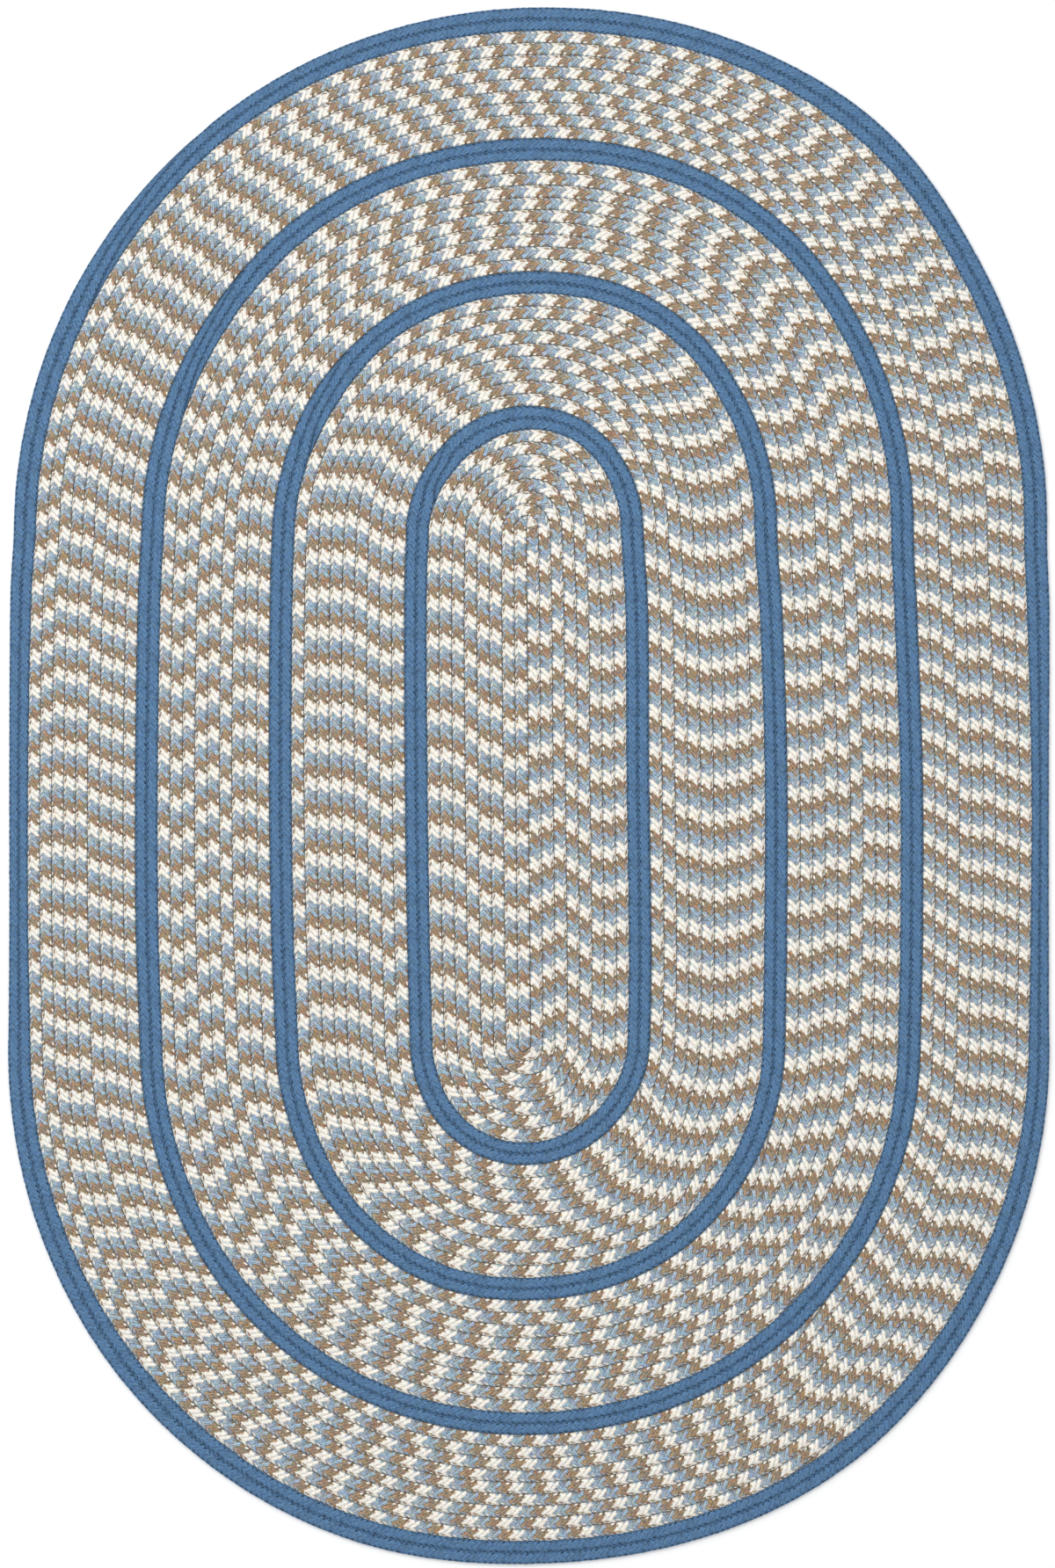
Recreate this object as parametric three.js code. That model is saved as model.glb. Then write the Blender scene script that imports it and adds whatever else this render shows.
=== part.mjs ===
// An oval braided rug, lying flat.
//
// Millimetres, +Z up, +Y along the rug. The origin is under the middle of the rug,
// on the surface it lies on.
//
// The rug is wound clockwise, seen from above, round a straight core. Each run of
// one colour is a braid of its own: it starts with a taper on the inner side of its
// band, makes its rounds, and ends with a taper on the outer side. Every band is one
// closed solid. Its underside is flat and each round of the braid is a flat-topped rib.

import * as THREE from "three";
import { mergeVertices } from "three/addons/utils/BufferGeometryUtils.js";

// ---- Driving dimensions ----

const CORE_LENGTH = 913; // straight core that the first round doubles back on
const CORE_MIDDLE = { x: 0.4, y: -2.8 }; // a little off the middle of the uneven outline
const CORE_LEAN_TOP = -4.6; // sideways shift of the core at its +Y end
const CORE_LEAN_BOTTOM = 3; // and at its -Y end

const BRAID_THICKNESS = 9;
const SEAM_HEIGHT = 6; // height of the valley where two rounds are sewn together
const SHOULDER = 0.22; // share of a round's width that its rounded shoulder takes
const PIECE_GAP = 0.3; // between one band and the next

const RING_WIDTH = 39; // two rounds of the plain blue braid
const RIM_FOOT_HEIGHT = 2.5; // where the outer wall starts to turn under
const RIM_TUCK = 2; // how far it turns under

const ARC_STEPS = 22; // steps round each half-circle end
const SIDE_STEPS = 4; // steps along each straight side
const SHORTEST_TAPER = 0.1; // a taper narrower than this share of a round is left off

// The place along a round is a number from 0 to 4: 0 to 1 is the +Y end from left to
// right, 1 to 2 the +X side going down, 2 to 3 the -Y end from right to left and
// 3 to 4 the -X side going up.
const LAP = 4;

// Radius from the core to the inner edge of each blue ring and to the rug's edge.
const MEAN_RADIUS = { innerRing: 172, middleRing: 412, outerRing: 648, border: 877, edge: 915 };

// How far those lines wander from their mean radius, place by place.
const WANDER = [
  { place: 0.0, innerRing: 4, middleRing: 0, outerRing: -6, border: -10, edge: -9 },
  { place: 0.17, innerRing: -5, middleRing: -10, outerRing: -11, border: -15, edge: -12 },
  { place: 0.3, innerRing: -6, middleRing: -4, outerRing: -6, border: -10, edge: -10 },
  { place: 0.5, innerRing: 1, middleRing: 0, outerRing: -2, border: -3, edge: 0 },
  { place: 0.63, innerRing: 1, middleRing: 6, outerRing: 10, border: 13, edge: 16 },
  { place: 0.73, innerRing: -3, middleRing: 3, outerRing: 10, border: 19, edge: 25 },
  { place: 0.83, innerRing: -8, middleRing: -8, outerRing: -2, border: 3, edge: 6 },
  { place: 1.0, innerRing: -10, middleRing: -15, outerRing: -11, border: -6, edge: -4 },
  { place: 1.16, innerRing: -2, middleRing: -6, outerRing: -5, border: -1, edge: 0 },
  { place: 1.48, innerRing: 0, middleRing: 3, outerRing: 5, border: 7, edge: -1 },
  { place: 1.81, innerRing: 4, middleRing: 2, outerRing: 5, border: 5, edge: -1 },
  { place: 2.0, innerRing: 1, middleRing: -1, outerRing: 1, border: 2, edge: 0 },
  { place: 2.16, innerRing: -7, middleRing: -5, outerRing: -1, border: 2, edge: 5 },
  { place: 2.29, innerRing: -8, middleRing: -4, outerRing: -2, border: 8, edge: 11 },
  { place: 2.48, innerRing: -4, middleRing: -6, outerRing: -5, border: -8, edge: -6 },
  { place: 2.62, innerRing: -1, middleRing: 0, outerRing: -1, border: 3, edge: 8 },
  { place: 2.76, innerRing: -2, middleRing: -3, outerRing: 0, border: 5, edge: 11 },
  { place: 2.89, innerRing: -4, middleRing: -9, outerRing: -4, border: 1, edge: 5 },
  { place: 3.0, innerRing: -2, middleRing: -6, outerRing: -3, border: 0, edge: 1 },
  { place: 3.22, innerRing: 3, middleRing: 2, outerRing: 4, border: 4, edge: -1 },
  { place: 3.54, innerRing: 7, middleRing: 6, outerRing: 5, border: 4, edge: -1 },
  { place: 3.87, innerRing: 8, middleRing: 4, outerRing: 0, border: -2, edge: -3 },
];

// Where a blue ring is fuller, because its braid starts and ends there.
const SWELL = {
  innerRing: { place: 0.3, reach: 0.35, extra: 6 },
  middleRing: { place: 0.18, reach: 0.12, extra: 6 },
};

const MIXED = { color: 0xb5ab99, roughness: 0.95 };
const BLUE = { color: 0x5071a0, roughness: 0.95 };

// The bands from the core outwards. starts and ends give the places between which the
// braid's first taper grows and its last taper runs out.
const BANDS = [
  { name: "centre_oval", rounds: 8, from: null, to: "innerRing", yarn: MIXED,
    starts: [2.56, 2.94], ends: [2.14, 2.38] },
  { name: "inner_ring", rounds: 2, from: "innerRing", to: null, yarn: BLUE,
    starts: [0.06, 0.17], ends: [0.18, 0.27] },
  { name: "inner_band", rounds: 9, from: "innerRing", to: "middleRing", yarn: MIXED,
    starts: [2.09, 2.18], ends: [2.19, 2.29] },
  { name: "middle_ring", rounds: 2, from: "middleRing", to: null, yarn: BLUE,
    starts: [0.08, 0.17], ends: [0.17, 0.26] },
  { name: "middle_band", rounds: 9, from: "middleRing", to: "outerRing", yarn: MIXED,
    starts: [2.09, 2.19], ends: [2.18, 2.27] },
  { name: "outer_ring", rounds: 2, from: "outerRing", to: null, yarn: BLUE,
    starts: [0.08, 0.18], ends: [0.16, 0.25] },
  { name: "outer_band", rounds: 9, from: "outerRing", to: "border", yarn: MIXED,
    starts: [2.21, 2.3], ends: [2.25, 2.34] },
  { name: "border", rounds: 2, from: "border", to: "edge", yarn: BLUE,
    starts: [0.13, 0.22], ends: [0.2, 0.29] },
];

// ---- Places along a round ----

function wrapPlace(place) {
  return ((place % LAP) + LAP) % LAP;
}

// The outward direction and the point of the core that a place is measured from.
function compass(place) {
  const leg = Math.floor(wrapPlace(place));
  const along = wrapPlace(place) - leg;
  const half = CORE_LENGTH / 2;
  const onArc = leg % 2 === 0;
  const turn = onArc ? Math.PI * (along + leg / 2 - 0.5) : Math.PI * (leg / 2);
  const outward = new THREE.Vector2(Math.sin(turn), Math.cos(turn));
  const coreY = onArc ? half * (1 - leg) : (leg === 1 ? 1 : -1) * half * (1 - 2 * along);
  return { outward, coreY };
}

// A smooth line through the WANDER table, closed on itself.
function wander(line, place) {
  const at = wrapPlace(place);
  const count = WANDER.length;
  const next = WANDER.findIndex((row) => row.place > at);
  const high = next === -1 ? count : next;
  const row = (index) => {
    const lap = Math.floor(index / count);
    const entry = WANDER[index - lap * count];
    return { place: entry.place + lap * LAP, value: entry[line] };
  };
  const [before, low, top, after] = [high - 2, high - 1, high, high + 1].map(row);
  const span = top.place - low.place;
  const slopeLow = ((top.value - before.value) / (top.place - before.place)) * span;
  const slopeTop = ((after.value - low.value) / (after.place - low.place)) * span;
  const t = (at - low.place) / span;
  const t2 = t * t;
  const t3 = t2 * t;
  return (
    (2 * t3 - 3 * t2 + 1) * low.value +
    (t3 - 2 * t2 + t) * slopeLow +
    (3 * t2 - 2 * t3) * top.value +
    (t3 - t2) * slopeTop
  );
}

function lineRadius(line, place) {
  return MEAN_RADIUS[line] + wander(line, place);
}

// The outer edge of a blue ring: its inner edge, its width and its fuller stretch.
function ringOuterRadius(line, place) {
  const swell = SWELL[line];
  let extra = 0;
  if (swell) {
    const away = Math.abs(wrapPlace(place - swell.place + LAP / 2) - LAP / 2);
    const share = Math.max(0, 1 - away / swell.reach);
    extra = swell.extra * THREE.MathUtils.smoothstep(share, 0, 1);
  }
  return lineRadius(line, place) + RING_WIDTH + extra;
}

// The inner and outer radius of a band at a place, without the gaps. A band between
// two rings starts at the outer edge of the first.
function bandRadii(band, place) {
  const isRing = band.rounds === 2;
  const innerLine = () => (isRing ? lineRadius : ringOuterRadius)(band.from, place);
  const inner = band.from ? innerLine() : 0;
  const outer = band.to ? lineRadius(band.to, place) : ringOuterRadius(band.from, place);
  return { inner, outer };
}

// ---- The rounds across a band ----

// How much of the first taper and of the last one there is, 0 to 1, at a distance
// along the lap from the band's join.
function tapers(band, fromJoin) {
  const join = (band.starts[0] + band.ends[1]) / 2;
  const grow = (range) => {
    const share = THREE.MathUtils.smoothstep(fromJoin + join, range[0], range[1]);
    if (share < SHORTEST_TAPER) return 0;
    return share > 1 - SHORTEST_TAPER ? 1 : share;
  };
  return { first: grow(band.starts), last: 1 - grow(band.ends) };
}

// The points across the band's top: for each, its share of the way from the inner to
// the outer edge and its height.
function topProfile(band, fromJoin) {
  const { first, last } = tapers(band, fromJoin);
  const widths = [first, ...Array(band.rounds - 1).fill(1), last];
  const total = widths.reduce((sum, width) => sum + width, 0);
  const rise = BRAID_THICKNESS - SEAM_HEIGHT;
  const points = [];
  let start = 0;
  for (const width of widths) {
    const crest = SEAM_HEIGHT + rise * width;
    points.push({ share: start / total, height: SEAM_HEIGHT });
    points.push({ share: (start + SHOULDER * width) / total, height: crest });
    points.push({ share: (start + (1 - SHOULDER) * width) / total, height: crest });
    start += width;
  }
  points.push({ share: 1, height: SEAM_HEIGHT });
  return points;
}

// One closed loop of points round the band's section at a place: across the top from
// the inner edge, then down the outer wall and back along the underside.
function sectionLoop(band, place, fromJoin) {
  const { outward, coreY } = compass(place);
  const radii = bandRadii(band, place);
  const inner = band.from ? radii.inner + PIECE_GAP / 2 : 0;
  const isRim = band.to === "edge";
  const outer = isRim ? radii.outer : radii.outer - PIECE_GAP / 2;
  const lean = THREE.MathUtils.mapLinear(
    coreY, -CORE_LENGTH / 2, CORE_LENGTH / 2, CORE_LEAN_BOTTOM, CORE_LEAN_TOP);
  const coreX = band.from ? 0 : lean;
  const point = (radius, height) => {
    const nearCore = 1 - (radius - inner) / (outer - inner);
    return [outward.x * radius + coreX * nearCore, outward.y * radius + coreY, height];
  };
  const loop = topProfile(band, fromJoin).map(({ share, height }) =>
    point(inner + (outer - inner) * share, height));
  if (isRim) {
    loop.push(point(outer, RIM_FOOT_HEIGHT));
  }
  loop.push(point(isRim ? outer - RIM_TUCK : outer, 0));
  loop.push(point(inner, 0));
  return loop;
}

// ---- Solids ----

function lapPlaces() {
  const places = [];
  for (let leg = 0; leg < LAP; leg += 1) {
    const steps = leg % 2 === 0 ? ARC_STEPS : SIDE_STEPS;
    for (let step = 0; step < steps; step += 1) {
      places.push(leg + step / steps);
    }
  }
  return places;
}

// Merges equal points and drops the triangles that a taper or the core has flattened.
function closedGeometry(positions) {
  const loose = new THREE.BufferGeometry();
  loose.setAttribute("position", new THREE.Float32BufferAttribute(positions, 3));
  const merged = mergeVertices(loose, 0.001);
  const corners = merged.index.array;
  const kept = [];
  for (let i = 0; i < corners.length; i += 3) {
    const [a, b, c] = [corners[i], corners[i + 1], corners[i + 2]];
    if (a !== b && b !== c && c !== a) {
      kept.push(a, b, c);
    }
  }
  merged.setIndex(kept);
  merged.computeVertexNormals();
  return merged;
}

// The band's solid: the section loops of each two neighbouring places, joined by quads.
function bandGeometry(band) {
  const places = lapPlaces();
  const join = (band.starts[0] + band.ends[1]) / 2;
  const positions = [];
  places.forEach((place, index) => {
    const next = index + 1 < places.length ? places[index + 1] : LAP;
    const fromJoin = wrapPlace(place - join + LAP / 2) - LAP / 2;
    const here = sectionLoop(band, place, fromJoin);
    const there = sectionLoop(band, next, fromJoin + next - place);
    const walls = band.from ? here.length : here.length - 1; // no wall along the core
    for (let k = 0; k < walls; k += 1) {
      const wrapped = (k + 1) % here.length;
      positions.push(...here[k], ...there[wrapped], ...here[wrapped]);
      positions.push(...here[k], ...there[k], ...there[wrapped]);
    }
  });
  return closedGeometry(positions);
}

function bandMesh(band) {
  const material = new THREE.MeshStandardMaterial({ ...band.yarn, metalness: 0 });
  const mesh = new THREE.Mesh(bandGeometry(band), material);
  mesh.name = band.name;
  return mesh;
}

const rug = new THREE.Group();
rug.position.set(CORE_MIDDLE.x, CORE_MIDDLE.y, 0);
for (const band of BANDS) {
  rug.add(bandMesh(band));
}

export default rug;
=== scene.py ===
"""An oval braided rug, wound from long flat braids round a straight core.

Metres, +Z up, +Y along the rug. Each band of the rug is one or two braids, wound clockwise
from the inner side of the band to its outer side, with a tapered start and a tapered end.
"""

import math

import bmesh
import bpy
import numpy as np
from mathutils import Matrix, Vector


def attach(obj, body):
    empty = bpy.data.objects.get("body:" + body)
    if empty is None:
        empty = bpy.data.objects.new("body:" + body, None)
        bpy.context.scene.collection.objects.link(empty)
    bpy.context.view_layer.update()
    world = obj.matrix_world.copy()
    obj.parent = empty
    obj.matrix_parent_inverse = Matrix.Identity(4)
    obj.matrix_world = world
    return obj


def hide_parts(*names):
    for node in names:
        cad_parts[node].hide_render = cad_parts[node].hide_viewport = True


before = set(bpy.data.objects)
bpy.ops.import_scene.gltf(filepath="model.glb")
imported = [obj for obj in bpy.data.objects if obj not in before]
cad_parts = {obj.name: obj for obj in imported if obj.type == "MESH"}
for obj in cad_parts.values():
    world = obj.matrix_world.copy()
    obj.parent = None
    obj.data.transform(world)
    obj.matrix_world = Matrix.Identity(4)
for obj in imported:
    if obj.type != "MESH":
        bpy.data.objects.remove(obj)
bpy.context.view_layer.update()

bl_info = {
    "name": "Braided Rug",
    "version": (1, 0, 0),
    "blender": (4, 5, 0),
    "location": "View3D > Sidebar > Rug",
    "description": "Winds an oval braided rug with blue rings and mixed bands",
    "category": "Object",
}

# ---- The plan of the rug ----

CORE_LENGTH = 0.913  # straight core that the first round doubles back on
CORE_MIDDLE = (0.0004, -0.0028)  # a little off the middle of the uneven outline
CORE_LEAN_TOP = -0.0046  # sideways shift of the core at its +Y end
CORE_LEAN_BOTTOM = 0.003
RING_WIDTH = 0.039  # two rounds of the plain blue braid
BAND_GAP = 0.0003  # between one band and the next
MILLIMETRE = 0.001

# The place along a round is a number from 0 to 4: 0 to 1 is the +Y end from left to
# right, 1 to 2 the +X side, 2 to 3 the -Y end from right to left and 3 to 4 the -X side.
LAP = 4

# Radius from the core to the inner edge of each blue ring and to the rug's edge.
MEAN_RADIUS = {
    "inner_ring": 0.172,
    "middle_ring": 0.412,
    "outer_ring": 0.648,
    "border": 0.877,
    "edge": 0.915,
}
LINES = tuple(MEAN_RADIUS)

# How far those lines wander from their mean radius, in millimetres, after the place.
WANDER = (
    # place, inner_ring, middle_ring, outer_ring, border, edge
    (0.00, 4, 0, -6, -10, -9),
    (0.17, -5, -10, -11, -15, -12),
    (0.30, -6, -4, -6, -10, -10),
    (0.50, 1, 0, -2, -3, 0),
    (0.63, 1, 6, 10, 13, 16),
    (0.73, -3, 3, 10, 19, 25),
    (0.83, -8, -8, -2, 3, 6),
    (1.00, -10, -15, -11, -6, -4),
    (1.16, -2, -6, -5, -1, 0),
    (1.48, 0, 3, 5, 7, -1),
    (1.81, 4, 2, 5, 5, -1),
    (2.00, 1, -1, 1, 2, 0),
    (2.16, -7, -5, -1, 2, 5),
    (2.29, -8, -4, -2, 8, 11),
    (2.48, -4, -6, -5, -8, -6),
    (2.62, -1, 0, -1, 3, 8),
    (2.76, -2, -3, 0, 5, 11),
    (2.89, -4, -9, -4, 1, 5),
    (3.00, -2, -6, -3, 0, 1),
    (3.22, 3, 2, 4, 4, -1),
    (3.54, 7, 6, 5, 4, -1),
    (3.87, 8, 4, 0, -2, -3),
)

# Where a blue ring is fuller: place, reach to both sides, extra width.
SWELL = {
    "inner_ring": (0.30, 0.35, 0.006),
    "middle_ring": (0.18, 0.12, 0.006),
}


REPEAT = 0.0668  # length of one repeat of the three colours in most braids
OUTER_REPEAT = 0.0615  # the same in the outer band and the border
NO_SLIP = ((0, 0),)


class Band:
    """One band of the rug: its rounds, the lines it lies between and where it is joined."""

    def __init__(
        self, name, rounds, inner, outer, starts, ends, repeat=REPEAT, slip=NO_SLIP):
        self.name = name
        self.rounds = rounds
        self.inner = inner  # line that it starts from, or None for the core
        self.outer = outer  # line that it reaches, or None for its own ring's width
        self.starts = starts  # places between which its first taper grows
        self.ends = ends  # places between which its last taper runs out
        self.repeat = repeat  # length of one repeat of the three colours
        self.slip = slip  # how far its stripes lag, lap by lap

    def radii(self, place):
        """Inner and outer radius of the band at a place."""
        if self.inner is None:
            inner = np.zeros_like(place)
        elif self.rounds == 2:
            inner = line_radius(self.inner, place) + BAND_GAP / 2
        else:
            inner = ring_outer_radius(self.inner, place) + BAND_GAP / 2
        if self.outer == "edge":
            outer = line_radius("edge", place)
        elif self.outer:
            outer = line_radius(self.outer, place) - BAND_GAP / 2
        else:
            outer = ring_outer_radius(self.inner, place) - BAND_GAP / 2
        return inner, outer


# A braid is pulled a little longer in some laps than in others, which shifts its stripes.
# Each pair is a lap, counted from the braid's tip, and how many repeats it lags by there.
CENTRE_SLIP = (
    # lap, lag
    (0.35, 0.0), (0.6, -0.25), (1.0, -0.1), (1.15, 0.2), (1.6, -0.15), (1.75, -0.45), (2.2, -0.8),
    (3.1, -1.0), (3.6, -0.85), (4.5, -0.9), (5.7, -0.6), (6.2, -0.7), (7.0, -0.65), (7.6, -0.85),
)
INNER_SLIP = (
    # lap, lag
    (0.0, 0.4), (0.2, -0.15), (0.7, -0.7), (0.9, -0.75), (1.2, -0.55), (1.5, -0.45),
    (1.7, -0.6), (2.2, -0.25), (2.6, -0.3), (3.2, 0.05), (3.9, 0.05), (4.2, 0.35),
    (4.9, 0.35), (5.2, 0.6), (5.8, 0.55), (6.2, 0.9), (6.9, 0.85), (7.2, 1.35),
    (7.7, 1.15), (8.0, 1.2), (8.2, 1.45), (8.5, 1.25), (9.0, 1.55),
)
MIDDLE_SLIP = (
    # lap, lag
    (0.0, 0.45), (0.9, 0.65), (1.2, 1.1), (1.9, 1.1), (2.2, 1.55), (3.0, 1.5), (3.6, 1.65),
    (4.0, 1.95), (4.2, 2.5), (5.0, 2.55), (5.2, 3.0), (5.5, 2.95), (5.7, 2.8), (6.0, 2.9),
    (6.2, 3.15), (6.8, 3.1), (7.0, 3.25), (7.2, 3.7), (7.6, 3.7), (8.0, 4.1), (8.2, 4.75),
    (8.7, 4.75), (9.0, 4.95),
)
OUTER_SLIP = (
    # lap, lag
    (0.0, -0.4), (0.3, -0.5), (0.6, -0.9), (1.0, -1.15), (1.15, -0.7), (1.4, -0.85),
    (1.7, -1.25), (2.0, -1.1), (2.1, -0.75), (2.6, -1.15), (3.0, -1.1), (3.2, -0.85),
    (3.9, -0.8), (4.15, -0.4), (4.4, -0.4), (4.6, -0.75), (4.9, -0.5), (5.1, -0.1),
    (5.4, -0.1), (5.7, -0.35), (6.0, 0.0), (6.2, 0.45), (6.5, 0.5), (6.7, -0.45),
    (7.1, -0.5), (7.6, -1.65), (8.0, -1.65), (8.2, -1.45), (8.5, -1.7), (9.0, -1.55),
)

MIXED_BANDS = (
    Band("centre_oval", 8, None, "inner_ring", (2.56, 2.94), (2.14, 2.38), slip=CENTRE_SLIP),
    Band("inner_band", 9, "inner_ring", "middle_ring", (2.09, 2.18), (2.19, 2.29),
         slip=INNER_SLIP),
    Band("middle_band", 9, "middle_ring", "outer_ring", (2.09, 2.19), (2.18, 2.27),
         slip=MIDDLE_SLIP),
    Band("outer_band", 9, "outer_ring", "border", (2.21, 2.30), (2.25, 2.34),
         OUTER_REPEAT, OUTER_SLIP),
)
BLUE_BANDS = (
    Band("inner_ring", 2, "inner_ring", None, (0.06, 0.17), (0.18, 0.27)),
    Band("middle_ring", 2, "middle_ring", None, (0.08, 0.17), (0.17, 0.26)),
    Band("outer_ring", 2, "outer_ring", None, (0.08, 0.18), (0.16, 0.25)),
    Band("border", 2, "border", "edge", (0.13, 0.22), (0.20, 0.29), OUTER_REPEAT),
)


def smoothstep(share):
    """0 to 1, easing in and out."""
    held = np.clip(share, 0, 1)
    return held * held * (3 - 2 * held)


def compass(place):
    """The outward direction and the core's height along Y at each place."""
    at = np.mod(place, LAP)
    leg = np.floor(at).astype(int)
    along = at - leg
    on_arc = leg % 2 == 0
    turn = np.pi * np.where(on_arc, along + leg / 2 - 0.5, leg / 2)
    half = CORE_LENGTH / 2
    side_y = np.where(leg == 1, 1, -1) * half * (1 - 2 * along)
    core_y = np.where(on_arc, half * (1 - leg), side_y)
    return np.sin(turn), np.cos(turn), core_y


def wander(line, place):
    """A smooth closed line through the WANDER table."""
    table = np.array(WANDER)
    places = table[:, 0]
    values = table[:, 1 + LINES.index(line)] * MILLIMETRE
    count = len(places)
    at = np.mod(place, LAP)
    top = np.searchsorted(places, at, side="right")

    def place_of(index):
        return places[index % count] + LAP * (index // count)

    def value_of(index):
        return values[index % count]

    def slope_of(index):
        rise = value_of(index + 1) - value_of(index - 1)
        return rise / (place_of(index + 1) - place_of(index - 1))

    low = top - 1
    span = place_of(top) - place_of(low)
    t = (at - place_of(low)) / span
    return (
        (2 * t**3 - 3 * t**2 + 1) * value_of(low)
        + (t**3 - 2 * t**2 + t) * span * slope_of(low)
        + (3 * t**2 - 2 * t**3) * value_of(top)
        + (t**3 - t**2) * span * slope_of(top)
    )


def line_radius(line, place):
    return MEAN_RADIUS[line] + wander(line, place)


def ring_outer_radius(line, place):
    """The outer edge of a blue ring: its inner edge, its width and its fuller stretch."""
    extra = 0.0
    if line in SWELL:
        middle, reach, most = SWELL[line]
        away = np.abs(np.mod(place - middle + LAP / 2, LAP) - LAP / 2)
        extra = most * smoothstep(1 - away / reach)
    return line_radius(line, place) + RING_WIDTH + extra


# ---- Winding a braid ----

FINE_STEP = 0.002  # share of a leg between two places where a braid's run is worked out
TIP_SHARE = 0.07  # share of a full width that a braid's tapered tip starts with
STEPS_PER_STITCH = 2
STITCHES_PER_REPEAT = 6
WEAVE_MAP = "OFBake"  # the UV map that the weave lies on: along the braid and around it

# The braid's section, from its inner edge over the top to its outer edge and back
# along the underside: across from -1 to 1, height from -1 to 1, and how far the
# stitches lean along the braid there, in stitches.
SECTION = (
    # across, height, lean
    (-1.00, 0.00, 0.30),
    (-0.93, 0.82, 0.00),
    (-0.42, 1.00, 0.40),
    (0.40, 1.00, 1.25),
    (0.93, 0.82, 0.60),
    (1.00, 0.00, 0.40),
    (0.93, -0.76, 0.60),
    (0.40, -0.98, 1.25),
    (-0.42, -0.98, 0.40),
    (-0.93, -0.76, 0.00),
)
FIRST_STITCH = 0.92  # how far into its first stitch a braid's colours start
TIGHT_TURN = 0.75  # share of its outer side's length that a turning braid takes at least
CALM_TURN = 0.85  # share of their lean that stitches lose in the tightest turn
CALM_REACH = 5  # how many stitches before and after that turn lose some lean too
TAPER_POWER = 0.5  # how a braid's height follows its width in a taper
LOWEST = 0.0002  # height of the underside over the floor
JOIN_DISTANCE = 1e-6  # points nearer than this are one point


class BraidRun:
    """The whole run of one band's braid, as a line of places that keeps its lap."""

    def __init__(self, band):
        self.band = band
        self.zone_start = min(band.starts[0], band.ends[0])
        run = np.arange(band.starts[0], LAP * band.rounds + band.ends[1], FINE_STEP)
        low, high, _ = self.rows(run)
        kept = (high - low) > TIP_SHARE
        first, last = np.flatnonzero(kept)[[0, -1]]
        self.places = run[first : last + 1]
        steps = np.maximum(self.steps(0.0), self.steps(1.0) * TIGHT_TURN)
        lengths = np.concatenate(([0.0], np.cumsum(steps)))
        laps, lags = np.array(band.slip).T
        lag = np.interp((self.places - self.places[0]) / LAP, laps, lags)
        self.length = lengths[-1]
        self.stitches = (lengths / band.repeat - lag) * STITCHES_PER_REPEAT + FIRST_STITCH

    def steps(self, across):
        """Lengths between the run's places on a line along the braid."""
        x, y = self.point(self.places, across)
        return np.hypot(np.diff(x), np.diff(y))

    def lean_share(self, stitch):
        """How far the stitches may lean: little where the first round turns back."""
        if self.band.inner:
            return 1.0
        turn = np.interp(LAP + 0.5, self.places, self.stitches)
        away = (stitch - turn) / CALM_REACH
        return 1 - CALM_TURN * np.exp(-(away**2))

    def rows(self, run):
        """The braid's inner and outer side in rounds from the band's inner side, and
        the band's whole width in rounds, at each place of the run."""
        band = self.band
        lap = np.floor((run - self.zone_start) / LAP)
        at = run - lap * LAP
        first = smoothstep((at - band.starts[0]) / (band.starts[1] - band.starts[0]))
        last = 1 - smoothstep((at - band.ends[0]) / (band.ends[1] - band.ends[0]))
        low = np.where(lap <= 0, 0.0, first + lap - 1)
        high = np.where(lap <= 0, first, first + lap)
        high = np.where(lap >= band.rounds, first + lap - 1 + last, high)
        return low, high, band.rounds - 1 + first + last

    def width_share(self, run):
        low, high, _ = self.rows(run)
        return np.clip(high - low, 0, 1)

    def point(self, run, across):
        """The point at a place of the run, across the braid from -1 to 1."""
        low, high, total = self.rows(run)
        share = (low + (high - low) * (0.5 + 0.5 * across)) / total
        inner, outer = self.band.radii(run)
        radius = inner + (outer - inner) * share
        out_x, out_y, core_y = compass(run)
        lean = np.interp(
            core_y,
            (-CORE_LENGTH / 2, CORE_LENGTH / 2),
            (CORE_LEAN_BOTTOM, CORE_LEAN_TOP),
        )
        core_x = lean * (1 - share) if self.band.inner is None else 0.0
        return out_x * radius + core_x + CORE_MIDDLE[0], out_y * radius + core_y + CORE_MIDDLE[1]

    def place_at(self, stitch):
        """The place of the run at a count of stitches along the braid."""
        return np.interp(stitch, self.stitches, self.places)


def around_map():
    """Where each point of the section lies on the weave map: 0 to 0.5 over the top from
    the inner edge to the outer, and 0.5 to 1 back along the underside."""
    across = np.array(SECTION)[:, 0]
    share = (1 + across) / 4
    top = np.arange(len(SECTION)) <= np.argmax(across)
    return np.append(np.where(top, share, 1 - share), 1.0)


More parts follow.
